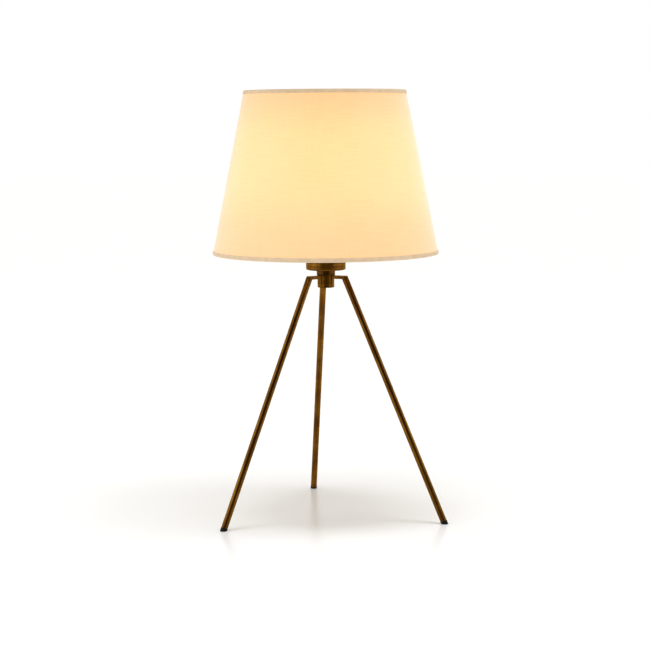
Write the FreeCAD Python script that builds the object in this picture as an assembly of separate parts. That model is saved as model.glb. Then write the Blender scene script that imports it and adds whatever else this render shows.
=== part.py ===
"""Tripod table lamp with a tapered fabric shade: every piece as a solid of its own.

The lamp stands on the plane z = 0 with its axis on the Z axis. One leg points to +Y, at the rear, and
the others point to the front left and the front right. Lengths are in millimetres, angles in degrees.
"""
import FreeCAD, Part
import math
import os

from FreeCAD import Vector

# ---------------------------------------------------------------- tripod
hub_top_height = 302.0        # from the floor to the hub's top face
hub_diameter = 21.0
hub_height = 15.0
hub_edge = 0.5                # chamfer on the hub's lower rim
hub_core_wall = 1.3           # metal left between the hub's bore and the arms' inner ends
arm_width = 7.0
arm_thickness = 4.0
slot_clearance = 0.05         # each side of an arm in its slot in the hub
leg_thirds = {"left": 1, "right": 2, "rear": 0}    # thirds of a turn from the rear, anticlockwise from above
leg_diameter = 8.0
leg_wall = 1.0
knee_radius = 25.4            # lamp axis to leg axis, at the middle of the arm's thickness
foot_radius = 157.0           # lamp axis to leg axis, on the floor
leg_plug_length = 10.0        # solid stretch that closes the tube's top end
elbow_rounding = 3.0          # radius of the elbow's outer corner
tip_height = 3.4              # floor to the tube's end, on the leg axis
tip_diameter = 8.4
tip_edge = 0.7                # rounding where the tip meets the floor
tip_shank_length = 12.0
push_fit = 0.05               # gap all round a plug in its hole

# ---------------------------------------------------------------- threaded tube and what it clamps
tube_diameter = 10.0
tube_bore = 8.0
tube_clearance = 0.1          # gap all round the tube in the pieces that it passes through
nut_across_flats = 14.0
nut_thickness = 3.0
nut_edge = 0.5                # how far the nut's corners are turned off
pocket_clearance = 0.5        # between the nut's corners and the hub's pocket
pocket_depth = 6.0            # of the pocket in the hub's underside
bush_recess = 0.6             # how far the cord bush lies inside the pocket's mouth
bush_snout_length = 4.0
cord_hole_diameter = 6.2
cord_hole_edge = 0.6          # rounding at the mouth of the cord hole
collar_diameter = 23.0
collar_height = 7.0
collar_edge = 0.6
cup_diameter = 49.5
cup_height = 24.0
cup_wall = 1.2
cup_floor = 1.5
cup_rounding = 1.8            # radius of the cup's lower edge
washer_diameter = 20.0
washer_thickness = 1.0

# ---------------------------------------------------------------- lampholder
neck_diameter = 19.0
neck_length = 8.0
cap_diameter = 37.0
cap_flare = 5.5               # height over which the neck widens to the cap
cap_rim = 15.0                # height of the cap's straight rim
cap_floor = 2.0               # metal between the flare's start and the cap's hollow
cap_wall = 3.0
cap_ledge = 1.4               # width of the step that the insert's flange lies on
cap_skirt_depth = 11.0        # from the rim's top down to that step
tube_stand_up = 0.5           # how far the threaded tube stands up inside the cap
grub_diameter = 3.0
grub_length = 4.0
grub_slot_width = 0.6
grub_slot_depth = 0.9
insert_flange = 3.0
insert_height = 12.0
shell_bore = 29.0
shell_flange_diameter = 43.5
shell_flange = 3.0
shell_length = 25.0           # from the flange to the top of the lampholder
shell_top_edge = 1.0
outer_thread_diameter = 39.5
outer_thread_depth = 0.7
outer_thread_pitch = 2.5
thread_runout = 1.5           # plain stretch at each end of a thread
screw_shell_bore = 26.8
screw_shell_wall = 0.4
screw_shell_length = 24.0
screw_shell_hole = 15.0
contact_width = 6.0
contact_thickness = 0.5
contact_rise = 2.4            # height of the spring contact above the insert
contact_foot_length = 4.0
contact_pad_length = 5.0
terminal_size = 5.0           # side of each square terminal block
terminal_height = 4.5
terminal_spacing = 17.0       # between the two blocks' middles
screw_diameter = 3.0
screw_head_diameter = 4.6
screw_head_height = 1.6
screw_length = 6.0

# ---------------------------------------------------------------- shade
shade_bottom_height = 329.0   # floor to the shade's lower edge
shade_height = 201.5
shade_bottom_diameter = 280.0
shade_top_diameter = 199.0
cover_thickness = 0.7
liner_thickness = 0.7
wire_diameter = 3.0
trim_thickness = 0.5
trim_band = 5.0               # height of the hem band that shows outside
trim_inner_band = 7.0         # height of the hem band inside
seam_width = 11.0
seam_thickness = 0.4
fitter_clearance = 0.4        # gap all round the lampholder in the fitter ring
fitter_diameter = 56.0
fitter_thickness = 1.5
fitter_seat_gap = 0.1         # between the fitter ring and the flange that carries it
spoke_diameter = 2.8
spoke_azimuths = (30.0, 150.0, 270.0)
weld_length = 4.0             # how far a spoke runs under the fitter ring
weld_depth = 0.5              # how far its weld sinks into the ring
spoke_hole_clearance = 0.3    # round each spoke, where it goes through the hem
ring_diameter = 52.0
ring_height = 8.0
ring_web = 3.0                # height of the ring's flange
ring_sleeve_diameter = 46.0
ring_thread_clearance = 0.09  # gap all round the lampholder's thread in the shade ring
ring_gap = 0.3                # between the shade ring and the fitter ring
ring_grip_count = 24
ring_grip_radius = 1.1

# ---------------------------------------------------------------- bulb
bulb_diameter = 60.0
bulb_length = 108.0
bulb_gap = 0.1                # between the bulb's contact and the spring contact
bulb_contact_diameter = 9.5
bulb_contact_height = 1.5
bulb_insulator_height = 3.0
bulb_insulator_diameter = 21.0
bulb_cap_diameter = 26.2
bulb_cap_top = 26.5           # from the contact's tip to the cap's upper rim
bulb_cap_wall = 0.5
bulb_thread_depth = 0.8
bulb_thread_pitch = 3.6
bulb_neck_diameter = 28.4
bulb_split = 50.0             # from the contact's tip to the joint of housing and dome
housing_wall = 1.6
dome_wall = 1.0
led_plate_thickness = 1.6
led_plate_gap = 0.2
led_count = 10
led_size = 3.0
led_height = 0.8
led_circle_diameter = 28.0

# ---------------------------------------------------------------- what follows from the sizes above
leg_azimuths = {side: 90 + 120 * thirds for side, thirds in leg_thirds.items()}
hub_bottom = hub_top_height - hub_height
arm_bottom = hub_top_height - arm_thickness
arm_middle = hub_top_height - arm_thickness / 2
tube_hole_radius = tube_diameter / 2 + tube_clearance
arm_inner_radius = tube_hole_radius + hub_core_wall
nut_corner_diameter = nut_across_flats / math.cos(math.radians(30))
pocket_radius = nut_corner_diameter / 2 + pocket_clearance
pocket_ceiling = hub_bottom + pocket_depth
tube_bottom = pocket_ceiling - nut_thickness
collar_top = hub_top_height + collar_height
cup_inside = collar_top + cup_floor
cup_nut_bottom = cup_inside + washer_thickness
holder_bottom = cup_nut_bottom + nut_thickness
neck_top = holder_bottom + neck_length
cap_shoulder = neck_top + cap_flare
cap_top = cap_shoulder + cap_rim
cap_hollow_floor = neck_top + cap_floor
cap_step = cap_top - cap_skirt_depth
cap_hollow_radius = cap_diameter / 2 - cap_wall
cap_skirt_radius = cap_hollow_radius + cap_ledge
tube_top = cap_hollow_floor + tube_stand_up
insert_top = cap_step + insert_height
shell_seat = cap_top + shell_flange
shell_top = shell_seat + shell_length
screw_shell_top = insert_top + screw_shell_length
contact_top = insert_top + contact_rise
fitter_bottom = shell_seat + fitter_seat_gap
fitter_top = fitter_bottom + fitter_thickness
ring_bottom = fitter_top + ring_gap
shade_slant = math.hypot((shade_bottom_diameter - shade_top_diameter) / 2, shade_height)
shade_sin = (shade_bottom_diameter - shade_top_diameter) / 2 / shade_slant
shade_cos = shade_height / shade_slant
laminate = cover_thickness + liner_thickness
bulb_bottom = contact_top + bulb_gap
bulb_centre = bulb_bottom + bulb_length - bulb_diameter / 2

UP = Vector(0, 0, 1)
ORIGIN = Vector(0, 0, 0)
SAME_POINT = 1e-6             # points of an outline nearer than this are one point


# ---------------------------------------------------------------- helpers
def section(start, *steps):
    """Closed face in the XZ plane. A step is an end point (radius, height), or a point on an arc and its end."""
    first = here = Vector(start[0], 0, start[1])
    edges = []
    for step in steps:
        if isinstance(step[0], tuple):
            middle, end = (Vector(x, 0, z) for x, z in step)
            edges.append(Part.Arc(here, middle, end).toShape())
        else:
            end = Vector(step[0], 0, step[1])
            edges.append(Part.LineSegment(here, end).toShape())
        here = end
    if not here.isEqual(first, SAME_POINT):
        edges.append(Part.LineSegment(here, first).toShape())
    return Part.Face(Part.Wire(edges))


def turned(start, *steps, angle=360):
    """Solid of revolution about the lamp's axis of the outline that section() draws."""
    return section(start, *steps).revolve(ORIGIN, UP, angle)


def sleeve(outer, inner, low, high):
    """Hollow cylinder about the lamp's axis, given its two radii and its two heights."""
    return turned((inner, low), (outer, low), (outer, high), (inner, high))


def spun(shape, angle):
    """Copy of a shape turned about the lamp's axis."""
    copy = shape.copy()
    copy.rotate(ORIGIN, UP, angle)
    return copy


def ridges(crest, depth, pitch, low, high):
    """Steps of an outline that climbs a round thread of rings, from low to high on the thread's core."""
    core = crest - depth
    count = max(1, int((high - low) / pitch))
    step = (high - low) / count
    starts = [low + i * step for i in range(count)]
    return [((crest, z + step / 2), (core, z + step)) for z in starts]


def hex_nut(bottom):
    """Hexagon nut on the threaded tube, with its corners turned off at both faces."""
    turns = [math.radians(60 * i) for i in range(7)]
    radius = nut_corner_diameter / 2
    points = [Vector(radius * math.cos(a), radius * math.sin(a), bottom) for a in turns]
    prism = Part.Face(Part.makePolygon(points)).extrude(UP * nut_thickness)
    top = bottom + nut_thickness
    blank = turned(
        (tube_hole_radius, bottom), (radius - nut_edge, bottom), (radius, bottom + nut_edge),
        (radius, top - nut_edge), (radius - nut_edge, top), (tube_hole_radius, top))
    return prism.common(blank)


# ---------------------------------------------------------------- tripod
foot_point = Vector(foot_radius, 0, 0)
leg_line = Vector(knee_radius - foot_radius, 0, arm_middle)
leg_direction = Vector(leg_line).normalize()
lean_tan = (foot_radius - knee_radius) / arm_middle
tube_end = foot_point + leg_direction * (tip_height / leg_direction.z)


def leg_rod(diameter, start, length):
    """Cylinder on the axis of the leg that points to +X. start is the distance above the tube's lower end."""
    return Part.makeCylinder(diameter / 2, length, tube_end + leg_direction * start, leg_direction)


def leg_length():
    """Length of the leg on its axis, from the tube's lower end to the arm's top face."""
    return (hub_top_height - tip_height) / leg_direction.z


def elbow_waste():
    """Block outside the rounding of the elbow's outer corner, between the top face and the leg's outside."""
    half_width = leg_diameter / 2 / leg_direction.z
    axis_at_top = knee_radius - (hub_top_height - arm_middle) * lean_tan
    corner = Vector(axis_at_top + half_width, 0, hub_top_height)
    inwards = Vector(-1, 0, 0)
    downwards = Vector(leg_direction).multiply(-1)
    half_angle = inwards.getAngle(downwards) / 2
    reach = elbow_rounding / math.tan(half_angle)
    on_top = corner + inwards * reach
    on_leg = corner + downwards * reach
    bisector = (inwards + downwards).normalize()
    centre = corner + bisector * (elbow_rounding / math.sin(half_angle))
    on_arc = centre - bisector * elbow_rounding
    margin = leg_diameter
    above = on_top + UP * margin
    beside = on_leg + Vector(margin, 0, 0)
    edges = [
        Part.Arc(on_leg, on_arc, on_top).toShape(),
        Part.LineSegment(on_top, above).toShape(),
        Part.LineSegment(above, Vector(beside.x, 0, above.z)).toShape(),
        Part.LineSegment(Vector(beside.x, 0, above.z), beside).toShape(),
        Part.LineSegment(beside, on_leg).toShape(),
    ]
    face = Part.Face(Part.Wire(edges))
    face.translate(Vector(0, -leg_diameter, 0))
    return face.extrude(Vector(0, 2 * leg_diameter, 0))


def make_leg():
    """Round tube, cut level with the arm at the top, closed there by a plug and rounded at the elbow."""
    length = leg_length()
    rod = leg_rod(leg_diameter, 0, length + leg_diameter)
    side = 4 * leg_diameter
    lid = Part.makeBox(side, side, side, Vector(knee_radius - side / 2, -side / 2, hub_top_height))
    bore = leg_rod(leg_diameter - 2 * leg_wall, 0, length - leg_plug_length)
    return rod.cut(lid).cut(elbow_waste()).cut(bore)


def make_arm():
    """Flat bar from its slot in the hub to the leg, shaped to the leg's side where it is brazed on."""
    bar = Part.makeBox(
        knee_radius - arm_inner_radius, arm_width, arm_thickness,
        Vector(arm_inner_radius, -arm_width / 2, arm_bottom))
    return bar.cut(leg_rod(leg_diameter, 0, leg_length() + leg_diameter))


def make_foot_tip():
    """Rubber plug whose head follows the leg's axis and is cut level with the floor, with a soft edge."""
    head = leg_rod(tip_diameter, -4 * tip_height, 4 * tip_height)
    side = 2 * foot_radius
    ground = Part.makeBox(side, side, side, Vector(foot_radius - side / 2, -side / 2, -side))
    head = head.cut(ground)
    sole = [e for e in head.Edges if e.BoundBox.ZMax < tip_edge / 10]
    head = head.makeFillet(tip_edge, sole)
    shank = leg_rod(leg_diameter - 2 * leg_wall - 2 * push_fit, 0, tip_shank_length)
    return head.fuse(shank).removeSplitter()


def make_hub():
    """Round block with three open slots for the arms, a bore for the tube and a pocket for its nut."""
    radius = hub_diameter / 2
    hub = turned(
        (pocket_radius, hub_bottom), (radius - hub_edge, hub_bottom), (radius, hub_bottom + hub_edge),
        (radius, hub_top_height), (tube_hole_radius, hub_top_height),
        (tube_hole_radius, pocket_ceiling), (pocket_radius, pocket_ceiling))
    slot_width = arm_width + 2 * slot_clearance
    slot = Part.makeBox(
        hub_diameter, slot_width, 2 * arm_thickness,
        Vector(arm_inner_radius, -slot_width / 2, arm_bottom))
    for azimuth in leg_azimuths.values():
        hub = hub.cut(spun(slot, azimuth))
    return hub


# ---------------------------------------------------------------- threaded tube and what it clamps
def make_threaded_tube():
    return sleeve(tube_diameter / 2, tube_bore / 2, tube_bottom, tube_top)


def make_cord_bush():
    """Flanged bush in the hub's pocket. Its snout lines the end of the threaded tube."""
    low = hub_bottom + bush_recess
    hole = cord_hole_diameter / 2
    snout = tube_bore / 2 - push_fit
    rim = pocket_radius - push_fit
    slope = cord_hole_edge * (1 - math.sqrt(0.5))
    return turned(
        (hole + cord_hole_edge, low), (rim, low), (rim, tube_bottom), (snout, tube_bottom),
        (snout, tube_bottom + bush_snout_length), (hole, tube_bottom + bush_snout_length),
        (hole, low + cord_hole_edge), ((hole + slope, low + slope), (hole + cord_hole_edge, low)))


def make_collar():
    """Plain round collar that clamps the arms into the hub's slots."""
    radius = collar_diameter / 2
    return turned(
        (tube_hole_radius, hub_top_height), (radius - collar_edge, hub_top_height),
        (radius, hub_top_height + collar_edge), (radius, collar_top - collar_edge),
        (radius - collar_edge, collar_top), (tube_hole_radius, collar_top))


def make_holder_cup():
    """Open cup round the foot of the lampholder, with a rounded lower edge and a rounded rim."""
    outer = cup_diameter / 2
    inner = outer - cup_wall
    top = collar_top + cup_height
    turn = cup_rounding * (1 - math.sqrt(0.5))
    low = collar_top
    half_wall = cup_wall / 2
    return turned(
        (tube_hole_radius, low), (outer - cup_rounding, low),
        ((outer - turn, low + turn), (outer, low + cup_rounding)), (outer, top - half_wall),
        ((outer - half_wall, top), (inner, top - half_wall)), (inner, cup_inside),
        (tube_hole_radius, cup_inside))


def make_cup_washer():
    return sleeve(washer_diameter / 2, tube_hole_radius, cup_inside, cup_nut_bottom)


# ---------------------------------------------------------------- lampholder
def grub_hole(radius, length):
    """Cylinder on the grub screw's axis, from the threaded tube's side outwards."""
    height = (holder_bottom + neck_top) / 2
    return Part.makeCylinder(radius, length, Vector(0, tube_diameter / 2 + push_fit, height), Vector(0, 1, 0))


def make_holder_cap():
    """Lower half of the lampholder: a neck that screws on the tube, and a hollow for the terminals."""
    radius = cap_diameter / 2
    neck = neck_diameter / 2
    cap = turned(
        (tube_hole_radius, holder_bottom), (neck, holder_bottom), (neck, neck_top),
        (radius, cap_shoulder), (radius, cap_top), (cap_skirt_radius, cap_top),
        (cap_skirt_radius, cap_step), (cap_hollow_radius, cap_step),
        (cap_hollow_radius, cap_shoulder), (neck, cap_hollow_floor),
        (tube_hole_radius, cap_hollow_floor))
    return cap.cut(grub_hole(grub_diameter / 2 + push_fit, neck_diameter))


def make_grub_screw():
    """Slotted screw in the neck of the lampholder, which locks it on the tube."""
    screw = grub_hole(grub_diameter / 2, grub_length)
    outer_end = tube_diameter / 2 + push_fit + grub_length
    height = (holder_bottom + neck_top) / 2
    slot = Part.makeBox(
        grub_slot_width, 2 * grub_slot_depth, 2 * grub_diameter,
        Vector(-grub_slot_width / 2, outer_end - grub_slot_depth, height - grub_diameter))
    return screw.cut(slot)


def terminal_places():
    """Middles of the two terminal blocks, across the lampholder."""
    return [Vector(0, side * terminal_spacing / 2, 0) for side in (-1, 1)]


def screw_at(place, radius, low, high):
    return Part.makeCylinder(radius, high - low, Vector(place.x, place.y, low), UP)


def make_insert():
    """Ceramic block that carries the contacts, with a flange clamped between cap and shell."""
    body = shell_bore / 2 - push_fit
    flange = cap_skirt_radius - push_fit
    block = turned(
        (0, cap_step), (flange, cap_step), (flange, cap_step + insert_flange),
        (body, cap_step + insert_flange), (body, insert_top), (0, insert_top))
    for place in terminal_places():
        top = cap_step + screw_length - screw_head_height
        block = block.cut(screw_at(place, screw_diameter / 2 + push_fit, cap_step, top))
    return block


def make_terminals():
    """Two square brass blocks under the insert, each with a hole for its screw."""
    solids = []
    for place in terminal_places():
        corner = place + Vector(-terminal_size / 2, -terminal_size / 2, cap_step - terminal_height)
        block = Part.makeBox(terminal_size, terminal_size, terminal_height, corner)
        hole = screw_at(place, screw_diameter / 2 + push_fit, cap_step - 2 * terminal_height, cap_step)
        solids.append(block.cut(hole))
    return Part.makeCompound(solids)


def make_terminal_screws():
    """Two pan-head screws that hold the terminal blocks to the insert."""
    solids = []
    for place in terminal_places():
        under_head = cap_step - terminal_height
        head = screw_at(place, screw_head_diameter / 2, under_head - screw_head_height, under_head)
        top = cap_step + screw_length - 2 * screw_head_height
        shank = screw_at(place, screw_diameter / 2, under_head, top)
        solids.append(head.fuse(shank).removeSplitter())
    return Part.makeCompound(solids)


def make_holder_shell():
    """Upper half of the lampholder: a spigot in the cap, a flange for the shade, and the outer thread."""
    crest = outer_thread_diameter / 2
    core = crest - outer_thread_depth
    bore = shell_bore / 2
    spigot = cap_skirt_radius - push_fit
    flange = shell_flange_diameter / 2
    spigot_bottom = cap_step + insert_flange
    low = shell_seat + thread_runout
    high = shell_top - thread_runout
    return turned(
        (bore, spigot_bottom), (spigot, spigot_bottom), (spigot, cap_top), (flange, cap_top),
        (flange, shell_seat), (core, shell_seat), (core, low),
        *ridges(crest, outer_thread_depth, outer_thread_pitch, low, high),
        (core, shell_top - shell_top_edge / 2), (core - shell_top_edge / 2, shell_top),
        (bore + shell_top_edge, shell_top), (bore, shell_top - shell_top_edge))


def make_screw_shell():
    """Thin metal cup that takes the bulb's cap, open in the middle for the spring contact."""
    bore = screw_shell_bore / 2
    outer = bore + screw_shell_wall
    return turned(
        (screw_shell_hole / 2, insert_top), (outer, insert_top), (outer, screw_shell_top),
        (bore, screw_shell_top), (bore, insert_top + screw_shell_wall),
        (screw_shell_hole / 2, insert_top + screw_shell_wall))


def make_spring_contact():
    """Bent strip: a foot on the insert, a slope, and a pad under the bulb's contact."""
    start = -contact_pad_length / 2 - contact_foot_length
    pad = -contact_pad_length / 2
    low = insert_top
    thick = contact_thickness
    strip = section(
        (start, low), (start + contact_foot_length / 2, low), (pad, contact_top - thick),
        (-pad, contact_top - thick), (-pad, contact_top), (pad, contact_top),
        (start + contact_foot_length / 2, low + thick), (start, low + thick))
    strip.translate(Vector(0, -contact_width / 2, 0))
    return spun(strip.extrude(Vector(0, contact_width, 0)), 90)


# ---------------------------------------------------------------- shade
def on_shade(along, inward):
    """Point of the shade's section: along its slant from the lower edge, and inward from the outer face."""
    return (
        shade_bottom_diameter / 2 - along * shade_sin - inward * shade_cos,
        shade_bottom_height + along * shade_cos - inward * shade_sin,
    )


def shade_band(low, high, outside, inside, angle=360):
    """Conical layer of the shade, between two places on the slant and two depths."""
    return turned(
        on_shade(low, outside), on_shade(high, outside), on_shade(high, inside), on_shade(low, inside),
        angle=angle)


def make_shade_cover():
    return shade_band(trim_thickness, shade_slant - trim_thickness, 0, cover_thickness)


def make_shade_liner():
    return shade_band(trim_thickness, shade_slant - trim_thickness, cover_thickness, laminate)


def wire_place(at_top):
    """Radius and height of the wire's centre, inside the lower or the upper edge of the shade."""
    from_edge = trim_thickness + wire_diameter / 2
    along = shade_slant - from_edge if at_top else from_edge
    return on_shade(along, laminate + wire_diameter / 2)


def make_wire(at_top):
    radius, height = wire_place(at_top)
    return Part.makeTorus(radius, wire_diameter / 2, Vector(0, 0, height), UP)


def make_trim(at_top):
    """Tape folded round the shade's edge and its wire, as a U-shaped ring."""
    edge, sign = (shade_slant, -1) if at_top else (0, 1)
    depth = laminate + wire_diameter
    outline = [
        (0, -trim_thickness), (trim_band, -trim_thickness), (trim_band, 0), (trim_thickness, 0),
        (trim_thickness, depth), (trim_inner_band, depth), (trim_inner_band, depth + trim_thickness),
        (0, depth + trim_thickness)]
    return turned(*(on_shade(edge + sign * along, inward) for along, inward in outline))


def spoke(azimuth, diameter):
    """Straight rod from under the fitter ring to the middle of the lower wire."""
    radius, height = wire_place(False)
    start = Vector(fitter_diameter / 2 - weld_length, 0, fitter_bottom - spoke_diameter / 2 + weld_depth)
    line = Vector(radius, 0, height) - start
    rod = Part.makeCylinder(diameter / 2, line.Length, start, line)
    return spun(rod, azimuth)


def make_shade_fitter():
    """Flat ring that sits on the lampholder, with three spokes welded under it."""
    hole = outer_thread_diameter / 2 + fitter_clearance
    fitter = sleeve(fitter_diameter / 2, hole, fitter_bottom, fitter_top)
    for azimuth in spoke_azimuths:
        fitter = fitter.fuse(spoke(azimuth, spoke_diameter))
    return fitter.cut(make_wire(False)).removeSplitter()


def make_bottom_trim():
    """Lower hem, with a hole for each spoke in its inner band."""
    trim = make_trim(False)
    for azimuth in spoke_azimuths:
        trim = trim.cut(spoke(azimuth, spoke_diameter + 2 * spoke_hole_clearance))
    return trim


def make_shade_seam():
    """Overlap of the cover's two ends: a straight strip on the outside, at the rear."""
    strip = shade_band(trim_band, shade_slant - trim_band, -seam_thickness, 0, angle=180)
    reach = shade_bottom_diameter
    window = Part.makeBox(
        seam_width, reach, shade_height, Vector(-seam_width / 2, 0, shade_bottom_height))
    return strip.common(window)


def make_shade_ring():
    """Threaded ring that clamps the fitter: a flange with a notched grip, and a shorter sleeve on it."""
    bore = outer_thread_diameter / 2 + ring_thread_clearance
    outer = ring_diameter / 2
    sleeve_radius = ring_sleeve_diameter / 2
    step = ring_bottom + ring_web
    ring = turned(
        (bore, ring_bottom), (outer, ring_bottom), (outer, step), (sleeve_radius, step),
        (sleeve_radius, ring_bottom + ring_height), (bore, ring_bottom + ring_height))
    notch = Part.makeCylinder(
        ring_grip_radius, 2 * ring_height, Vector(outer + ring_grip_radius / 2, 0, ring_bottom - ring_height))
    notches = [spun(notch, i * 360 / ring_grip_count) for i in range(ring_grip_count)]
    return ring.cut(Part.makeCompound(notches))


# ---------------------------------------------------------------- bulb
def bulb_cone(wall):
    """Start and end of the bulb's straight flank, one wall inside its skin: below the neck, and at the ball."""
    ball = bulb_diameter / 2
    neck = Vector(bulb_neck_diameter / 2, 0, bulb_bottom + bulb_cap_top)
    centre = Vector(0, 0, bulb_centre)
    span = neck - centre
    turn = math.acos(ball / span.Length)
    direction = math.atan2(span.z, span.x) + turn
    normal = Vector(math.cos(direction), 0, math.sin(direction))
    return neck - normal * wall, centre + normal * (ball - wall)


def flank_at(height, wall):
    """Radius of the bulb's flank at a height, one wall inside its skin."""
    low, high = bulb_cone(wall)
    share = (height - low.z) / (high.z - low.z)
    return low.x + share * (high.x - low.x)


def make_bulb_dome():
    """Opal dome: the upper part of the flank and the ball, as one thin skin."""
    split = bulb_bottom + bulb_split
    ball = bulb_diameter / 2
    outer = bulb_cone(0)[1]
    inner = bulb_cone(dome_wall)[1]
    side = math.sqrt(0.5)
    return turned(
        (flank_at(split, 0), split), (outer.x, outer.z),
        ((ball * side, bulb_centre + ball * side), (0, bulb_centre + ball)),
        (0, bulb_centre + ball - dome_wall),
        (((ball - dome_wall) * side, bulb_centre + (ball - dome_wall) * side), (inner.x, inner.z)),
        (flank_at(split, dome_wall), split))


def make_bulb_housing():
    """White cone between the cap and the dome, hollow for the driver."""
    split = bulb_bottom + bulb_split
    low = bulb_bottom + bulb_cap_top
    step = split - led_plate_thickness
    return turned(
        (0, low), (flank_at(low, 0), low), (flank_at(split, 0), split),
        (flank_at(split, 0) - housing_wall / 2, split), (flank_at(step, 0) - housing_wall / 2, step),
        (flank_at(step, 0) - housing_wall, step), (flank_at(low, 0) - housing_wall, low + housing_wall),
        (0, low + housing_wall))


def make_led_plate():
    """Round plate in the housing's mouth with a circle of light sources on it."""
    split = bulb_bottom + bulb_split
    low = split - led_plate_thickness
    radius = flank_at(low, 0) - housing_wall / 2 - led_plate_gap
    plate = Part.makeCylinder(radius, led_plate_thickness, Vector(0, 0, low))
    chip = Part.makeBox(
        led_size, led_size, led_height, Vector((led_circle_diameter - led_size) / 2, -led_size / 2, split))
    for i in range(led_count):
        plate = plate.fuse(spun(chip, i * 360 / led_count))
    return plate


def make_bulb_cap():
    """Metal screw cap of the bulb, with a rounded thread."""
    crest = bulb_cap_diameter / 2
    core = crest - bulb_thread_depth
    inner = core - bulb_cap_wall
    low = bulb_bottom + bulb_contact_height + bulb_insulator_height
    high = bulb_bottom + bulb_cap_top
    foot = bulb_insulator_diameter / 2
    first = low + bulb_thread_pitch / 2
    last = high - bulb_thread_pitch
    return turned(
        (foot - bulb_cap_wall, low), (foot, low), (core, first),
        *ridges(crest, bulb_thread_depth, bulb_thread_pitch, first, last),
        (core, high), (inner, high), (inner, first))


def make_bulb_insulator():
    """Black ring between the cap and the centre contact."""
    low = bulb_bottom + bulb_contact_height
    contact = bulb_contact_diameter / 2
    return turned(
        (0, low), (contact, low), (bulb_insulator_diameter / 2, low + bulb_insulator_height),
        (0, low + bulb_insulator_height))


def make_bulb_contact():
    """Centre contact of the bulb, slightly domed."""
    radius = bulb_contact_diameter / 2
    high = bulb_bottom + bulb_contact_height
    low = bulb_bottom + bulb_contact_height / 2
    return turned((0, bulb_bottom), (radius / 2, bulb_bottom), (radius, low), (radius, high), (0, high))


# ---------------------------------------------------------------- all pieces
def all_parts():
    """Every piece of the lamp in its place, by the name of its node."""
    parts = {
        "hub": make_hub(),
        "threaded_tube": make_threaded_tube(),
        "hub_nut": hex_nut(tube_bottom),
        "cord_bush": make_cord_bush(),
        "collar": make_collar(),
        "holder_cup": make_holder_cup(),
        "cup_washer": make_cup_washer(),
        "cup_nut": hex_nut(cup_nut_bottom),
        "holder_cap": make_holder_cap(),
        "grub_screw": make_grub_screw(),
        "holder_insert": make_insert(),
        "terminals": make_terminals(),
        "terminal_screws": make_terminal_screws(),
        "holder_shell": make_holder_shell(),
        "screw_shell": make_screw_shell(),
        "spring_contact": make_spring_contact(),
        "shade_cover": make_shade_cover(),
        "shade_liner": make_shade_liner(),
        "top_wire": make_wire(True),
        "bottom_wire": make_wire(False),
        "top_trim": make_trim(True),
        "bottom_trim": make_bottom_trim(),
        "shade_seam": make_shade_seam(),
        "shade_fitter": make_shade_fitter(),
        "shade_ring": make_shade_ring(),
        "bulb_dome": make_bulb_dome(),
        "bulb_housing": make_bulb_housing(),
        "led_plate": make_led_plate(),
        "bulb_cap": make_bulb_cap(),
        "bulb_insulator": make_bulb_insulator(),
        "bulb_contact": make_bulb_contact(),
    }
    arm, leg, tip = make_arm(), make_leg(), make_foot_tip()
    for side, azimuth in leg_azimuths.items():
        parts["arm_" + side] = spun(arm, azimuth)
        parts["leg_" + side] = spun(leg, azimuth)
        parts["foot_tip_" + side] = spun(tip, azimuth)
    return parts


def main():
    os.makedirs("parts", exist_ok=True)
    for name, shape in all_parts().items():
        shape.exportStep("parts/" + name + ".step")
        print(name, len(shape.Solids), "solid", "valid" if shape.isValid() else "NOT VALID",
              round(shape.Volume, 1), "mm3")


main()
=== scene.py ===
"""Looks of the tripod table lamp: its finishes, its fabric shade and hems, and the studio round it."""
import math

import bpy
import numpy as np
from mathutils import Matrix, Vector


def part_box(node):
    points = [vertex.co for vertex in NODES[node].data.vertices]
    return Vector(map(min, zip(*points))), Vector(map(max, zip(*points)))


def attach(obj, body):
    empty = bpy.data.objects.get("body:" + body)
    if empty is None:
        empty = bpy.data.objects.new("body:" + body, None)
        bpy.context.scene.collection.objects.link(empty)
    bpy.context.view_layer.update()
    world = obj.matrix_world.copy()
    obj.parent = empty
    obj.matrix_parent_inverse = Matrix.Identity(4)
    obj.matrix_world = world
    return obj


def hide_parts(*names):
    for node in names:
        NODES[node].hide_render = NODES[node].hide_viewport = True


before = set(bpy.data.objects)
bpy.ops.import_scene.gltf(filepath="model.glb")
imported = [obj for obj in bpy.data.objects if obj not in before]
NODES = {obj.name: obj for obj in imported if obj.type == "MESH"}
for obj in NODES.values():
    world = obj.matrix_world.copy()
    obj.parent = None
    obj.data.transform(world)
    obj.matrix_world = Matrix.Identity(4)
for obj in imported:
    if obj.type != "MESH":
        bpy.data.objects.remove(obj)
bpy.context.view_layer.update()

# ---------------------------------------------------------------- camera
IMAGE_SIDE = 650.0             # pixels of the square image
FOCAL_PIXELS = 1771.0
SENSOR = 36.0                  # millimetres
CAMERA_DISTANCE = 2.1955       # metres in front of the lamp's axis
CAMERA_HEIGHT = 0.4929
CAMERA_PITCH = 0.11485         # radians below the horizon
CAMERA_TURN = math.radians(6.65)
CAMERA_ROLL = -0.006
CENTRE_SHIFT = 1.2             # pixels that the lamp's axis stands right of the image's middle


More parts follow.
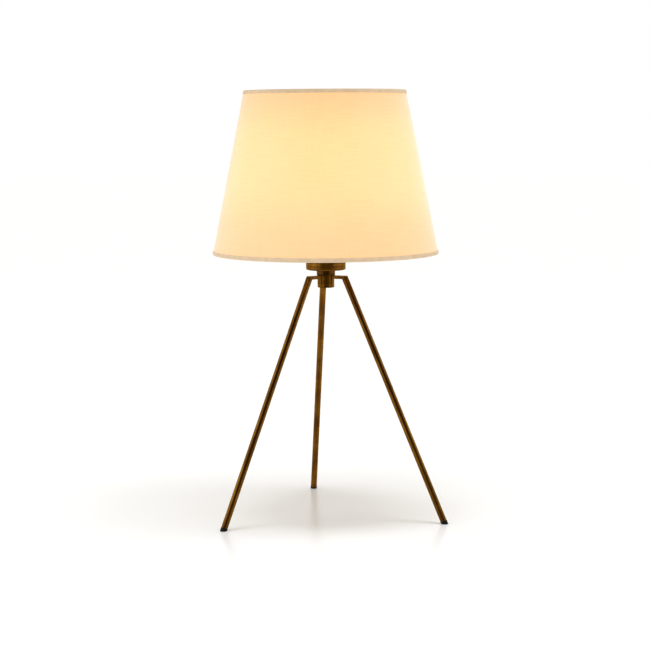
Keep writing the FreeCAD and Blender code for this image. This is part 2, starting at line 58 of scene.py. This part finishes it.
def make_camera():
    """Camera at the photograph's place: turned about the lamp's axis, then pitched, then rolled."""
    data = bpy.data.cameras.new("camera")
    data.sensor_width = SENSOR
    data.lens = FOCAL_PIXELS * SENSOR / IMAGE_SIDE
    data.shift_x = -CENTRE_SHIFT / IMAGE_SIDE
    data.clip_start, data.clip_end = 0.05, 100
    camera = bpy.data.objects.new("camera", data)
    bpy.context.scene.collection.objects.link(camera)
    turn = Matrix.Rotation(-CAMERA_TURN, 4, "Z")
    pitch = Matrix.Rotation(math.pi / 2 - CAMERA_PITCH, 4, "X")
    roll = Matrix.Rotation(CAMERA_ROLL, 4, "Z")
    place = Matrix.Translation((0, -CAMERA_DISTANCE, CAMERA_HEIGHT))
    camera.matrix_world = turn @ place @ pitch @ roll
    bpy.context.scene.camera = camera


make_camera()


# ---------------------------------------------------------------- materials: the two small classes
class Value:
    """A number that varies over a surface. Its operators add Math nodes to the same material."""

    def __init__(self, surface, socket):
        self.surface = surface
        self.socket = socket

    def math(self, operation, *others):
        numbers = dict(enumerate((self, *others)))
        return self.surface.node("ShaderNodeMath", {"operation": operation}, numbers).value()

    def __add__(self, other):
        return self.math("ADD", other)

    def __sub__(self, other):
        return self.math("SUBTRACT", other)

    def __rsub__(self, other):
        return (self * -1.0) + other

    def __mul__(self, other):
        return self.math("MULTIPLY", other)

    def __truediv__(self, other):
        return self.math("DIVIDE", other)

    def __rtruediv__(self, other):
        return (self ** -1.0) * other

    def __pow__(self, other):
        return self.math("POWER", other)

    __radd__ = __add__
    __rmul__ = __mul__

    def sine(self):
        return self.math("SINE")

    def clamped(self):
        return self.surface.node("ShaderNodeClamp", {}, {"Value": self}).value()

    def ramp(self, low, high):
        """0 below low, 1 above high, and smooth between."""
        settings = {"interpolation_type": "SMOOTHSTEP"}
        limits = {"Value": self, "From Min": low, "From Max": high}
        return self.surface.node("ShaderNodeMapRange", settings, limits).value()


class Node:
    """One node of a material, whose outputs are read by name."""

    def __init__(self, surface, node):
        self.surface = surface
        self.node = node

    def out(self, name=0):
        return self.node.outputs[name]

    def value(self, name=0):
        return Value(self.surface, self.out(name))


class Surface:
    """A material made of nodes, with one method that makes them."""

    def __init__(self, name, tree=None):
        self.material = None
        if tree is None:
            self.material = bpy.data.materials.new(name)
            self.material.use_nodes = True
            tree = self.material.node_tree
        self.tree = tree
        self.tree.nodes.clear()

    def node(self, kind, settings, inputs):
        """Adds a node: its settings first, then each of its inputs, as a constant or as a link."""
        node = self.tree.nodes.new(kind)
        for key, setting in settings.items():
            setattr(node, key, setting)
        for key, given in inputs.items():
            socket = given.socket if isinstance(given, Value) else given
            if isinstance(socket, bpy.types.NodeSocket):
                self.tree.links.new(socket, node.inputs[key])
            else:
                node.inputs[key].default_value = socket
        return Node(self, node)

    def place(self, scale=(1, 1, 1), turn=(0, 0, 0), source="Object"):
        """Vector of a point of the piece, in metres, after a turn and a scale."""
        where = self.node("ShaderNodeTexCoord", {}, {}).out(source)
        turned = self.node("ShaderNodeMapping", {"vector_type": "POINT"}, {"Vector": where, "Rotation": turn})
        scaled = {"Vector": turned.out(), "Scale": scale}
        return self.node("ShaderNodeMapping", {"vector_type": "POINT"}, scaled).out()

    def axes(self, vector):
        """The three numbers of a vector."""
        split = self.node("ShaderNodeSeparateXYZ", {}, {"Vector": vector})
        return split.value("X"), split.value("Y"), split.value("Z")

    def vector(self, x, y, z):
        return self.node("ShaderNodeCombineXYZ", {}, {"X": x, "Y": y, "Z": z}).out()

    def noise(self, vector, scale, detail=2.0, roughness=0.5):
        """Cloudy number from 0 to 1, scale in cycles per unit of the vector."""
        inputs = {"Vector": vector, "Scale": scale, "Detail": detail, "Roughness": roughness}
        return self.node("ShaderNodeTexNoise", {}, inputs).value("Fac")

    def mix(self, share, one, other):
        """Colour between two colours."""
        inputs = {0: share, 6: one, 7: other}
        return self.node("ShaderNodeMix", {"data_type": "RGBA"}, inputs).out(2)

    def bump(self, height, distance, strength=1.0):
        """Normal that follows a height, in metres times distance."""
        inputs = {"Height": height, "Distance": distance, "Strength": strength}
        return self.node("ShaderNodeBump", {}, inputs).out()

    def finish(self, shader):
        """Ends the material with this shader and returns it."""
        self.node("ShaderNodeOutputMaterial", {}, {"Surface": shader.out()})
        return self.material


def solid_colour(red, green, blue):
    return (red, green, blue, 1.0)


# ---------------------------------------------------------------- metals
BRASS_WORN = solid_colour(0.205, 0.087, 0.005)
BRASS_PATINA = solid_colour(0.095, 0.034, 0.002)
BRASS_EDGE = solid_colour(0.85, 0.62, 0.34)
BRUSH_LINES = 2600.0           # cycles per metre across the brushing
BRUSH_STREAKS = 420.0
LINE_STRETCH = 0.012           # share of that along the brushing
STREAK_STRETCH = 0.05
LEG_AZIMUTHS = {"left": math.radians(210), "right": math.radians(330), "rear": math.radians(90)}


def leg_lean():
    """Angle of the legs from upright, read from the rear leg's box: its reach outwards over its height."""
    low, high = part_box("leg_rear")
    width = high.x - low.x
    return math.atan2(high.y - low.y - width, high.z - low.z)


def darker(colour, share):
    return tuple(share * c for c in colour[:3]) + (1.0,)


def brass(name, turn=(0, 0, 0), turned=False, tone=1.0):
    """Antique brushed brass under lacquer.

    The brush lines run along Z after the turn, or round the axis of a turned piece.
    """
    s = Surface(name)
    x, y, z = s.axes(s.place(turn=turn))
    if turned:
        radius = (x * x + y * y) ** 0.5
        lines = s.noise(s.vector(radius, 0.0, z), BRUSH_LINES, 2.0)
        streaks = s.noise(s.vector(radius, 0.0, z), BRUSH_STREAKS, 3.0)
    else:
        lines = s.noise(s.vector(x, y, z * LINE_STRETCH), BRUSH_LINES, 2.0)
        streaks = s.noise(s.vector(x, y, z * STREAK_STRETCH), BRUSH_STREAKS, 3.0)
    clouds = s.noise(s.place(), 34.0, 4.0, 0.62)
    spots = s.noise(s.place(), 260.0, 3.0, 0.7).ramp(0.62, 0.74)
    wear = (clouds * 0.55 + streaks * 0.45).ramp(0.38, 0.64)
    # A tone below 1 darkens the whole colour; on the collar that is painted shade.
    colour = s.mix(wear * (1.0 - spots * 0.5), darker(BRASS_PATINA, tone), darker(BRASS_WORN, tone))
    rough = 0.22 + lines * 0.10 + (1.0 - wear) * 0.08
    inputs = {
        "Base Color": colour,
        "Metallic": 1.0,
        "Specular Tint": BRASS_EDGE,
        "Roughness": rough,
        "Coat Weight": 0.06 + clouds * 0.08,
        "Coat Roughness": 0.16,
        "Normal": s.bump(lines * 0.7 + streaks * 0.3, 0.00002, 0.5),
    }
    return s.finish(s.node("ShaderNodeBsdfPrincipled", {}, inputs))


def plated(name, colour, rough=0.28):
    """Bright plated metal with faint clouds and fine scratches."""
    s = Surface(name)
    clouds = s.noise(s.place(), 90.0, 3.0)
    scratches = s.noise(s.place(scale=(1.0, 1.0, 0.08)), 1800.0, 2.0)
    inputs = {
        "Base Color": s.mix(clouds.ramp(0.35, 0.7), darker(colour, 0.72), colour),
        "Metallic": 1.0,
        "Roughness": rough + scratches * 0.14,
        "Normal": s.bump(scratches, 0.00001, 0.4),
    }
    return s.finish(s.node("ShaderNodeBsdfPrincipled", {}, inputs))


def moulded(name, colour, rough, grain=0.00002, specular=0.5):
    """Moulded plastic, rubber or glaze: a fine grain, and a slight change of tone over the piece."""
    s = Surface(name)
    clouds = s.noise(s.place(), 60.0, 3.0)
    fine = s.noise(s.place(), 1500.0, 2.0)
    inputs = {
        "Base Color": s.mix(clouds, colour, darker(colour, 1.15)),
        "Roughness": rough + fine * 0.12,
        "Specular IOR Level": specular,
        "Normal": s.bump(fine, grain, 0.6),
    }
    return s.finish(s.node("ShaderNodeBsdfPrincipled", {}, inputs))


# ---------------------------------------------------------------- shade: its section and its surfaces
COVER = 0.0007                 # metres, thickness of the cover, and of the liner
TAPE = 0.0005                  # thickness of the hems' tape
WIRE = 0.003                   # thickness of the wires in the hems
BAND = 0.005                   # height of a hem outside
INNER_BAND = 0.007             # and inside
EDGE_ROUND = 0.0016            # radius of a hem's two corners at the shade's edge
SLOW_WAVE = 0.00003            # height of the hems' slow waves
QUICK_WAVE = 0.000015          # and of the small ones
FOOT_RADIUS = 0.14             # of the shade's outer face, at its lower edge
TOP_RADIUS = 0.0995            # and at its upper edge
SHADE_FOOT = 0.329             # height of the lower edge above the table
SHADE_HEIGHT = 0.2015
SLANT = math.hypot(FOOT_RADIUS - TOP_RADIUS, SHADE_HEIGHT)
LEAN_SIN = (FOOT_RADIUS - TOP_RADIUS) / SLANT
LEAN_COS = SHADE_HEIGHT / SLANT
ROUND_STEPS = 256              # points round the axis
SLANT_STEPS = 60               # points up one face of a layer
CORNER_STEPS = 9               # points round each corner of a hem
SEAM_WIDTH = 0.011             # of the cover's overlap at the rear
SEAM_RISE = 0.0004             # height of the overlap over the cover's outer face
SEAM_EDGE = 0.0007             # width of the soft edge of the overlap
SEAM_STEPS = 31                # points across the overlap


def make_piece(name, points, faces, uv):
    """Mesh object of an array of points and an array of faces, with one UV pair for each face corner."""
    mesh = bpy.data.meshes.new(name)
    mesh.from_pydata(points.reshape(-1, 3).tolist(), [], faces.tolist())
    layer = mesh.uv_layers.new(name="UVMap")
    layer.data.foreach_set("uv", uv.astype(np.float32).ravel())
    mesh.polygons.foreach_set("use_smooth", np.ones(len(mesh.polygons), bool))
    mesh.update()
    piece = bpy.data.objects.new(name, mesh)
    bpy.context.scene.collection.objects.link(piece)
    return piece


def grid_faces(rows, columns):
    """Quads of a grid of rows by columns points that closes both ways."""
    i, j = np.meshgrid(np.arange(rows), np.arange(columns), indexing="ij")
    ahead_i, ahead_j = (i + 1) % rows, (j + 1) % columns
    corners = [i * columns + j, i * columns + ahead_j, ahead_i * columns + ahead_j, ahead_i * columns + j]
    return np.stack(corners, -1).reshape(-1, 4)


def on_shade(along, inward):
    """Radius and height of a place on the shade: along its slant, and inward from its outer face."""
    radius = FOOT_RADIUS - along * LEAN_SIN - inward * LEAN_COS
    height = SHADE_FOOT + along * LEAN_COS - inward * LEAN_SIN
    return radius, height


def even_angles(radius):
    """Even steps round the axis, the same for every point of the outline."""
    return np.linspace(0, 2 * np.pi, ROUND_STEPS, endpoint=False) + 0 * radius[:, None]


def seam_angles(radius):
    """Angles from one edge of the rear seam round to the other, then close steps across the seam itself.

    The seam is SEAM_WIDTH wide at every height, so at radius r it takes up half = SEAM_WIDTH / (2 r) on each
    side of the rear. The other points are pi / 2 + half + (2 pi - 2 half) t, for t from 0 to 1.
    """
    half = SEAM_WIDTH / (2 * radius[:, None])
    t = np.linspace(0, 1, ROUND_STEPS)
    across = np.linspace(-1, 1, SEAM_STEPS + 2)[1:-1]
    return np.pi / 2 + np.concatenate([half + (2 * np.pi - 2 * half) * t, 2 * np.pi + half * across], 1)


def seam_lift(radius, angle):
    """The overlap stands SEAM_RISE proud of the cover's outer face, with soft edges."""
    from_rear = np.abs(np.mod(angle - np.pi / 2 + np.pi, 2 * np.pi) - np.pi) * radius[:, None]
    outer_face = (np.arange(len(radius)) < len(radius) // 2)[:, None]
    edge = np.clip((SEAM_WIDTH / 2 - from_rear) / SEAM_EDGE, 0, 1)
    return SEAM_RISE * outer_face * edge * (2 - edge)


def lathe(name, radius, height, angles=even_angles, lift=None):
    """Closed ring: a closed outline of radii and heights carried round the axis.

    Point (i, j) is at (R cos a, R sin a, z), with z of outline point i, a = angles(radius)[i, j] and
    R = radius[i] + lift(radius, a)[i, j]. UVs are lengths in metres: round the ring, and along the outline.
    """
    angle = angles(radius)
    rows, columns = angle.shape
    r = radius[:, None] + (0 if lift is None else lift(radius, angle)) + 0 * angle
    points = np.stack([r * np.cos(angle), r * np.sin(angle), height[:, None] + 0 * angle], -1)
    i, j = np.meshgrid(np.arange(rows), np.arange(columns), indexing="ij")
    i, j = i.ravel(), j.ravel()
    around = np.concatenate([angle, angle[:, :1] + 2 * np.pi], 1) * radius.mean()
    step = np.hypot(np.diff(radius, append=radius[0]), np.diff(height, append=height[0]))
    length = np.concatenate([[0], np.cumsum(step)])
    ahead = (i + 1) % rows
    u = np.stack([around[i, j], around[i, j + 1], around[ahead, j + 1], around[ahead, j]], -1)
    v = np.stack([length[i], length[i], length[i + 1], length[i + 1]], -1)
    return make_piece(name, points, grid_faces(rows, columns), np.stack([u, v], -1))


def layer_outline(outside, inside, margin):
    """Outline of a thin conical layer: up its outer face, then down its inner face."""
    along = np.linspace(margin, SLANT - margin, SLANT_STEPS)
    up_radius, up_height = on_shade(along, outside)
    down_radius, down_height = on_shade(along[::-1], inside)
    return np.concatenate([up_radius, down_radius]), np.concatenate([up_height, down_height])


def hem_outline(at_top):
    """Outline of the folded tape: up its outer band, round the edge over the wire, and its inner band.

    Each point is a place on the shade: along its slant from the edge, and inward from its outer face.
    """
    depth = 2 * COVER + WIRE
    half = TAPE / 2
    turn = np.linspace(0, np.pi, CORNER_STEPS)
    outer_end = np.stack([BAND - half + half * np.sin(turn), -half - half * np.cos(turn)], -1)
    inner_end = np.stack([INNER_BAND - half + half * np.sin(turn), depth + half - half * np.cos(turn)], -1)
    quarter = np.linspace(0, np.pi / 2, CORNER_STEPS)
    corner = EDGE_ROUND - EDGE_ROUND * np.cos(quarter)
    sideways = EDGE_ROUND - EDGE_ROUND * np.sin(quarter)
    outer_corner = np.stack([corner, sideways - TAPE], -1)
    inner_corner = np.stack([corner, depth + TAPE - sideways], -1)[::-1]
    run = np.linspace(0, 1, 5)
    inside = np.stack([TAPE + 0 * run, run * depth], -1)
    outline = np.concatenate([outer_corner, outer_end, inside, inner_end, inner_corner])
    along = SLANT - outline[:, 0] if at_top else outline[:, 0]
    radius, height = on_shade(along, outline[:, 1])
    return (radius[::-1], height[::-1]) if at_top else (radius, height)


def hem_lift(radius, angle):
    """The tape's slight unevenness: a few slow waves and many small ones, in metres."""
    i = np.arange(len(radius))[:, None]
    slow = np.sin(7 * angle + 0.6 * i) + 0.7 * np.sin(17 * angle + 1.3)
    quick = np.sin(61 * angle + 0.9 * i) + 0.6 * np.sin(97 * angle + 2.1)
    return SLOW_WAVE * slow + QUICK_WAVE * quick


# ---------------------------------------------------------------- shade: its materials
GLOW_HEIGHT = 0.447            # metres, of the brightest place of the shade
GLOW_END = 0.42                # cube of the cosine at which the glow has faded out
THREAD_STEP = 0.0007           # between two threads of the fabric
SLUBS = 700.0                  # cycles per metre across a thread, of its thick and thin places
SLUB_STRETCH = 0.05            # share of that along the thread
RIB_STEP = 0.0008              # between two ribs of the tape
SEAM_BLUR = 0.0002             # half the width of the soft edge of the seam's shade
SEAM_SHADE = 0.22              # share of the light that the seam's second layer holds back
OPAL_CLIMB = 0.03              # over which the bulb's dome brightens, upwards from its neck
FABRIC_LIGHT = solid_colour(0.530, 0.440, 0.375)
FABRIC_DARK = solid_colour(0.490, 0.400, 0.336)
# Colours of the painted glow: the bulb's light through the cover, given as emission.
GLOW_WARM = solid_colour(0.700, 0.315, 0.045)
GLOW_BRIGHT = solid_colour(0.740, 0.440, 0.085)


def shade_glow(s):
    """About 0 at the shade's ends and 1 at GLOW_HEIGHT, by the cube of the cosine of the light's slope."""
    x, y, z = s.axes(s.place())
    radius2 = x * x + y * y
    rise = z - GLOW_HEIGHT
    cosine2 = radius2 / (radius2 + rise * rise)
    return (cosine2 ** 1.5).ramp(GLOW_END, 1.0)


def weave(s):
    """Height and slub of a plain weave: threads along U and along V, 0.7 mm apart, of uneven thickness."""
    u, v, _ = s.axes(s.place(source="UV"))
    thread = 2 * math.pi / THREAD_STEP
    warp = (u * thread).sine()
    weft = (v * thread).sine()
    long_u = s.noise(s.vector(u * SLUB_STRETCH, v, 0.0), SLUBS, 2.0)
    long_v = s.noise(s.vector(u, v * SLUB_STRETCH, 0.0), SLUBS, 2.0)
    slub = long_u * 0.65 + long_v * 0.35
    return warp * weft * 0.5 + 0.5, slub


def fabric(name):
    """Ivory fabric lit from behind: a plain weave, slubs, clouds, and the lamp's painted glow by height."""
    s = Surface(name)
    threads, slub = weave(s)
    clouds = s.noise(s.place(), 16.0, 3.0)
    tone = (slub * 0.7 + clouds * 0.3).ramp(0.35, 0.65)
    glow = shade_glow(s)
    emitted = s.mix(glow, GLOW_WARM, GLOW_BRIGHT)
    x, y, _ = s.axes(s.place())
    over_seam = (SEAM_WIDTH / 2 - x.math("ABSOLUTE")).ramp(-SEAM_BLUR, SEAM_BLUR)
    doubled = over_seam * y.ramp(0.0, 0.01)
    thin = (0.95 + slub * 0.10 - threads * 0.03) * (1.0 - doubled * SEAM_SHADE)
    lit = s.node("ShaderNodeVectorMath", {"operation": "SCALE"}, {0: emitted, "Scale": thin}).out()
    inputs = {
        "Base Color": s.mix(tone, FABRIC_DARK, FABRIC_LIGHT),
        "Roughness": 0.9,
        "Specular IOR Level": 0.2,
        "Sheen Weight": 0.8,
        "Sheen Roughness": 0.4,
        # Painted glow: the bulb's light through the fabric, varied by the slubs and the threads, weaker over
        # the doubled seam.
        "Emission Color": lit,
        "Emission Strength": 1.0,
        "Normal": s.bump(threads * 0.6 + slub * 0.4, 0.00012, 0.6),
    }
    return s.finish(s.node("ShaderNodeBsdfPrincipled", {}, inputs))


def lining(name):
    """White styrene inside the shade: smooth, with faint roller marks, and a painted glow of the bulb's
    light, bright near the bulb.
    """
    s = Surface(name)
    marks = s.noise(s.place(scale=(1, 1, 0.1)), 300.0, 2.0)
    glow = shade_glow(s)
    inputs = {
        "Base Color": s.mix(marks, solid_colour(0.80, 0.76, 0.68), solid_colour(0.86, 0.83, 0.76)),
        "Roughness": 0.45 + marks * 0.1,
        # Painted glow: the bulb's light on the styrene, by height as on the cover.
        "Emission Color": s.mix(glow, solid_colour(0.50, 0.34, 0.15), solid_colour(0.85, 0.65, 0.34)),
        "Emission Strength": 0.3,
        "Normal": s.bump(marks, 0.00003, 0.4),
    }
    return s.finish(s.node("ShaderNodeBsdfPrincipled", {}, inputs))


def tape(name):
    """Ribbed ivory tape over the cover, the liner and a wire, so that little light comes through."""
    s = Surface(name)
    u, _, _ = s.axes(s.place(source="UV"))
    ribs = (u * (2 * math.pi / RIB_STEP)).sine() * 0.5 + 0.5
    clouds = s.noise(s.place(), 120.0, 3.0)
    tone = clouds.ramp(0.3, 0.7)
    inputs = {
        "Base Color": s.mix(tone, solid_colour(0.50, 0.425, 0.33), solid_colour(0.56, 0.48, 0.38)),
        "Roughness": 0.85,
        # Painted glow: the little of the bulb's light that comes through the tape, varied by clouds.
        "Emission Color": s.mix(clouds, solid_colour(0.20, 0.11, 0.03), solid_colour(0.24, 0.14, 0.04)),
        "Emission Strength": 1.0,
        "Normal": s.bump(ribs * 0.5 + clouds * 0.5, 0.00008, 0.5),
    }
    return s.finish(s.node("ShaderNodeBsdfPrincipled", {}, inputs))


def opal(name):
    """Opal dome of the lit bulb: white, brighter in the middle than at the neck."""
    s = Surface(name)
    _, _, z = s.axes(s.place())
    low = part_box("bulb_dome")[0].z
    climb = ((z - low) / OPAL_CLIMB).clamped()
    clouds = s.noise(s.place(), 40.0, 2.0)
    glow = s.mix(climb * (0.9 + clouds * 0.1), solid_colour(0.48, 0.30, 0.12), solid_colour(0.66, 0.50, 0.27))
    inputs = {
        "Base Color": s.mix(clouds, solid_colour(0.46, 0.44, 0.40), solid_colour(0.52, 0.50, 0.46)),
        "Roughness": 0.25,
        "Emission Color": glow,
        "Emission Strength": 1.0,
    }
    return s.finish(s.node("ShaderNodeBsdfPrincipled", {}, inputs))


# ---------------------------------------------------------------- dressing the solids
def dress(material, *nodes):
    """Gives CAD nodes their material."""
    for name in nodes:
        slots = NODES[name].data.materials
        slots.clear()
        slots.append(material)


def dress_all():
    """Gives a finish to every solid that the fabric pieces don't stand for."""
    dress(brass("brass_turned", turned=True), "hub", "holder_cup")
    # The collar's brass at half brightness is painted shade: it sits in the shadow between the cup and the
    # hub.
    dress(brass("brass_collar_painted_shade", turned=True, tone=0.5), "collar")
    rubber = moulded("rubber", solid_colour(0.005, 0.005, 0.005), 0.5, specular=0.15)
    lean = leg_lean()
    for side, azimuth in LEG_AZIMUTHS.items():
        along_leg = Matrix.Rotation(lean, 3, "Y") @ Matrix.Rotation(-azimuth, 3, "Z")
        dress(brass("brass_leg_" + side, tuple(along_leg.to_euler())), "leg_" + side)
        along_arm = Matrix.Rotation(math.pi / 2, 3, "Y") @ Matrix.Rotation(-azimuth, 3, "Z")
        dress(brass("brass_arm_" + side, tuple(along_arm.to_euler())), "arm_" + side)
        dress(rubber, "foot_tip_" + side)
    zinc = plated("zinc", solid_colour(0.62, 0.63, 0.64))
    dress(zinc, "threaded_tube", "hub_nut", "cup_washer", "cup_nut", "grub_screw", "terminal_screws")
    contacts = plated("contact_brass", solid_colour(0.78, 0.56, 0.26))
    dress(contacts, "terminals", "screw_shell", "spring_contact")
    dress(plated("nickel", solid_colour(0.70, 0.68, 0.63)), "bulb_cap", "bulb_contact")
    dress(plated("led_board", solid_colour(0.80, 0.80, 0.80), 0.5), "led_plate")
    black = moulded("phenolic", solid_colour(0.009, 0.008, 0.0075), 0.26, specular=0.35)
    dress(black, "holder_cap", "holder_shell", "shade_ring")
    dress(moulded("nylon", solid_colour(0.02, 0.02, 0.02), 0.5), "cord_bush")
    dress(moulded("glaze", solid_colour(0.80, 0.79, 0.75), 0.14), "holder_insert")
    dress(moulded("black_glass", solid_colour(0.01, 0.01, 0.014), 0.1), "bulb_insulator")
    powder = moulded("powder_coat", solid_colour(0.80, 0.79, 0.76), 0.42, 0.00004)
    dress(powder, "shade_fitter", "top_wire", "bottom_wire")
    dress(moulded("bulb_white", solid_colour(0.80, 0.79, 0.77), 0.35), "bulb_housing")
    dress(opal("opal_glass"), "bulb_dome")


def add_piece(piece, material, body, slot, *nodes):
    """A new piece gets its material, rides on its body and stands for its CAD nodes."""
    piece.data.materials.append(material)
    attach(piece, body)
    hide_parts(*nodes)
    return piece


def make_shade():
    """Cover, liner and the two hems, as surfaces in place of their solids. Returns the cover and the hems."""
    cover = lathe("shade_fabric", *layer_outline(0.0, COVER, TAPE), seam_angles, seam_lift)
    add_piece(cover, fabric("ivory_fabric"), "shade", "shade_fabric", "shade_cover", "shade_seam")
    liner = lathe("shade_lining", *layer_outline(COVER, 2 * COVER, TAPE))
    add_piece(liner, lining("styrene"), "shade", "shade_liner", "shade_liner")
    hem_tape = tape("hem_tape")
    hems = []
    for name, node, at_top in (("top_hem", "top_trim", True), ("bottom_hem", "bottom_trim", False)):
        hem = lathe(name, *hem_outline(at_top), lift=hem_lift)
        hems.append(add_piece(hem, hem_tape, "shade", "shade_tape", node))
    return cover, hems


# ---------------------------------------------------------------- studio
WORLD_COLOUR = solid_colour(0.585, 0.540, 0.475)    # of the even light; the camera sees white instead
FLOOR_COLOUR = solid_colour(0.92, 0.92, 0.92)
OVERHEAD_ANGLES = (-13, -6.5, 0, 6.5, 13)      # degrees to the side, of the long overhead light
OVERHEAD_LEAN = 4              # degrees towards the camera
OVERHEAD_SPREAD = 16           # degrees that each of its suns spans
OVERHEAD_POWER = 0.385
OVERHEAD_COLOUR = (0.88, 0.935, 1.0)
CUTTER_HEIGHT = 0.85           # metres above the table
CUTTER_REACH = (0.115, 0.215)  # half its width and half its depth
CUTTER_PLACE = (-0.05, 0.02)   # of its middle
CUTTER_STEPS = 64
FLAG_SIDE = 1.1                # half the width of the dark card
FLAG_TOP = 1.6
FLAG_PLACE = -1.3              # its Y: between the lamp and the camera
DARK_CARD = {"Base Color": solid_colour(0.01, 0.01, 0.01), "Roughness": 1.0}
FLOOR_SIDE = 14.0              # half the floor's width
FLOOR_ROUGHNESS = 0.28         # near the lamp; it is 1 farther off
GLOSS_NEAR = 0.3               # metres from the lamp's axis at which the floor's gloss begins to fade
GLOSS_FAR = 0.8                # and at which it is gone
PANEL = {"shape": "RECTANGLE", "size": 0.8, "size_y": 1.4, "color": (0.90, 0.95, 1.0)}
PANEL_PLACE = (1.7, -0.3, 0.8)  # of the right panel; the left one stands opposite
PANEL_TARGET = (0, 0, 0.4)
LEFT_POWER = 5.0
RIGHT_POWER = 3.0


def make_world():
    """Even light, a little warm; camera, glossy and transmitted rays see a white background."""
    world = bpy.data.worlds.new("studio")
    world.use_nodes = True
    bpy.context.scene.world = world
    s = Surface("studio", world.node_tree)
    path = s.node("ShaderNodeLightPath", {}, {})
    seen = path.value("Is Camera Ray") + path.value("Is Glossy Ray") + path.value("Is Transmission Ray")
    colour = s.mix(seen.clamped(), WORLD_COLOUR, solid_colour(1, 1, 1))
    background = s.node("ShaderNodeBackground", {}, {"Color": colour, "Strength": 1.0})
    s.node("ShaderNodeOutputWorld", {}, {"Surface": background.out()})


def make_card(name, corners, surface, inputs):
    """Flat piece of the studio, through these corners, with a plain material."""
    mesh = bpy.data.meshes.new(name)
    mesh.from_pydata(corners, [], [tuple(range(len(corners)))])
    mesh.materials.append(surface.finish(surface.node("ShaderNodeBsdfPrincipled", {}, inputs)))
    card = bpy.data.objects.new(name, mesh)
    bpy.context.scene.collection.objects.link(card)
    return card


def make_floor():
    """Large pale floor that keeps the lamp's shadow: slightly glossy near the lamp, matt farther off."""
    s = Surface("floor")
    x, y, _ = s.axes(s.place())
    away = ((x * x + y * y) ** 0.5).ramp(GLOSS_NEAR, GLOSS_FAR)
    inputs = {
        "Base Color": FLOOR_COLOUR,
        "Roughness": FLOOR_ROUGHNESS + away * (1.0 - FLOOR_ROUGHNESS),
        "Specular IOR Level": 0.18,
    }
    signs = ((-1, -1), (1, -1), (1, 1), (-1, 1))
    corners = [(FLOOR_SIDE * i, FLOOR_SIDE * j, 0) for i, j in signs]
    floor = make_card("floor", corners, s, inputs)


def make_light(name, kind, settings, place, target):
    """Light that faces a point."""
    data = bpy.data.lights.new(name, kind)
    for key, setting in settings.items():
        setattr(data, key, setting)
    light = bpy.data.objects.new(name, data)
    bpy.context.scene.collection.objects.link(light)
    line = Vector(target) - Vector(place)
    light.matrix_world = Matrix.Translation(place) @ line.to_track_quat("-Z", "Y").to_matrix().to_4x4()


def make_overhead():
    """Long overhead light, made of suns in a row from side to side.

    It reaches the whole floor evenly and softens the shadow sideways.
    """
    sun = {"energy": OVERHEAD_POWER, "color": OVERHEAD_COLOUR, "angle": math.radians(OVERHEAD_SPREAD)}
    for i, side in enumerate(OVERHEAD_ANGLES):
        place = (math.tan(math.radians(side)), -math.tan(math.radians(OVERHEAD_LEAN)), 1.0)
        make_light("overhead_" + str(i + 1), "SUN", sun, place, (0, 0, 0))


def make_cutter():
    """Oval card over the lamp, of which only the shadow shows.

    It holds the overhead light back from the shade's open top. It is larger than the opening, so that it also
    shapes the middle of the lamp's shadow on the floor.
    """
    around = np.linspace(0, 2 * np.pi, CUTTER_STEPS, endpoint=False)
    x = CUTTER_PLACE[0] + CUTTER_REACH[0] * np.cos(around)
    y = CUTTER_PLACE[1] + CUTTER_REACH[1] * np.sin(around)
    corners = np.stack([x, y, CUTTER_HEIGHT + 0 * x], -1).tolist()
    cutter = make_card("cutter", corners, Surface("cutter"), DARK_CARD)
    cutter.visible_camera = cutter.visible_diffuse = False
    cutter.visible_glossy = cutter.visible_transmission = False


def make_flag():
    """Dark card between the lamp and the camera, seen in glossy reflections only.

    It makes the dark streaks in the metal.
    """
    low, high = (-FLAG_SIDE, FLAG_PLACE, 0.0), (FLAG_SIDE, FLAG_PLACE, FLAG_TOP)
    corners = [low, (high[0], FLAG_PLACE, low[2]), high, (low[0], FLAG_PLACE, high[2])]
    flag = make_card("flag", corners, Surface("flag"), DARK_CARD)
    flag.visible_camera = flag.visible_diffuse = flag.visible_shadow = flag.visible_transmission = False


def make_studio():
    """White background, floor, the two cards and the lights."""
    make_world()
    make_floor()
    make_flag()
    make_overhead()
    make_cutter()
    left = (-PANEL_PLACE[0], *PANEL_PLACE[1:])
    make_light("left_panel", "AREA", {**PANEL, "energy": LEFT_POWER}, left, PANEL_TARGET)
    make_light("right_panel", "AREA", {**PANEL, "energy": RIGHT_POWER}, PANEL_PLACE, PANEL_TARGET)
    bpy.context.scene.view_settings.view_transform = "Standard"


dress_all()
cover, hems = make_shade()
make_studio()
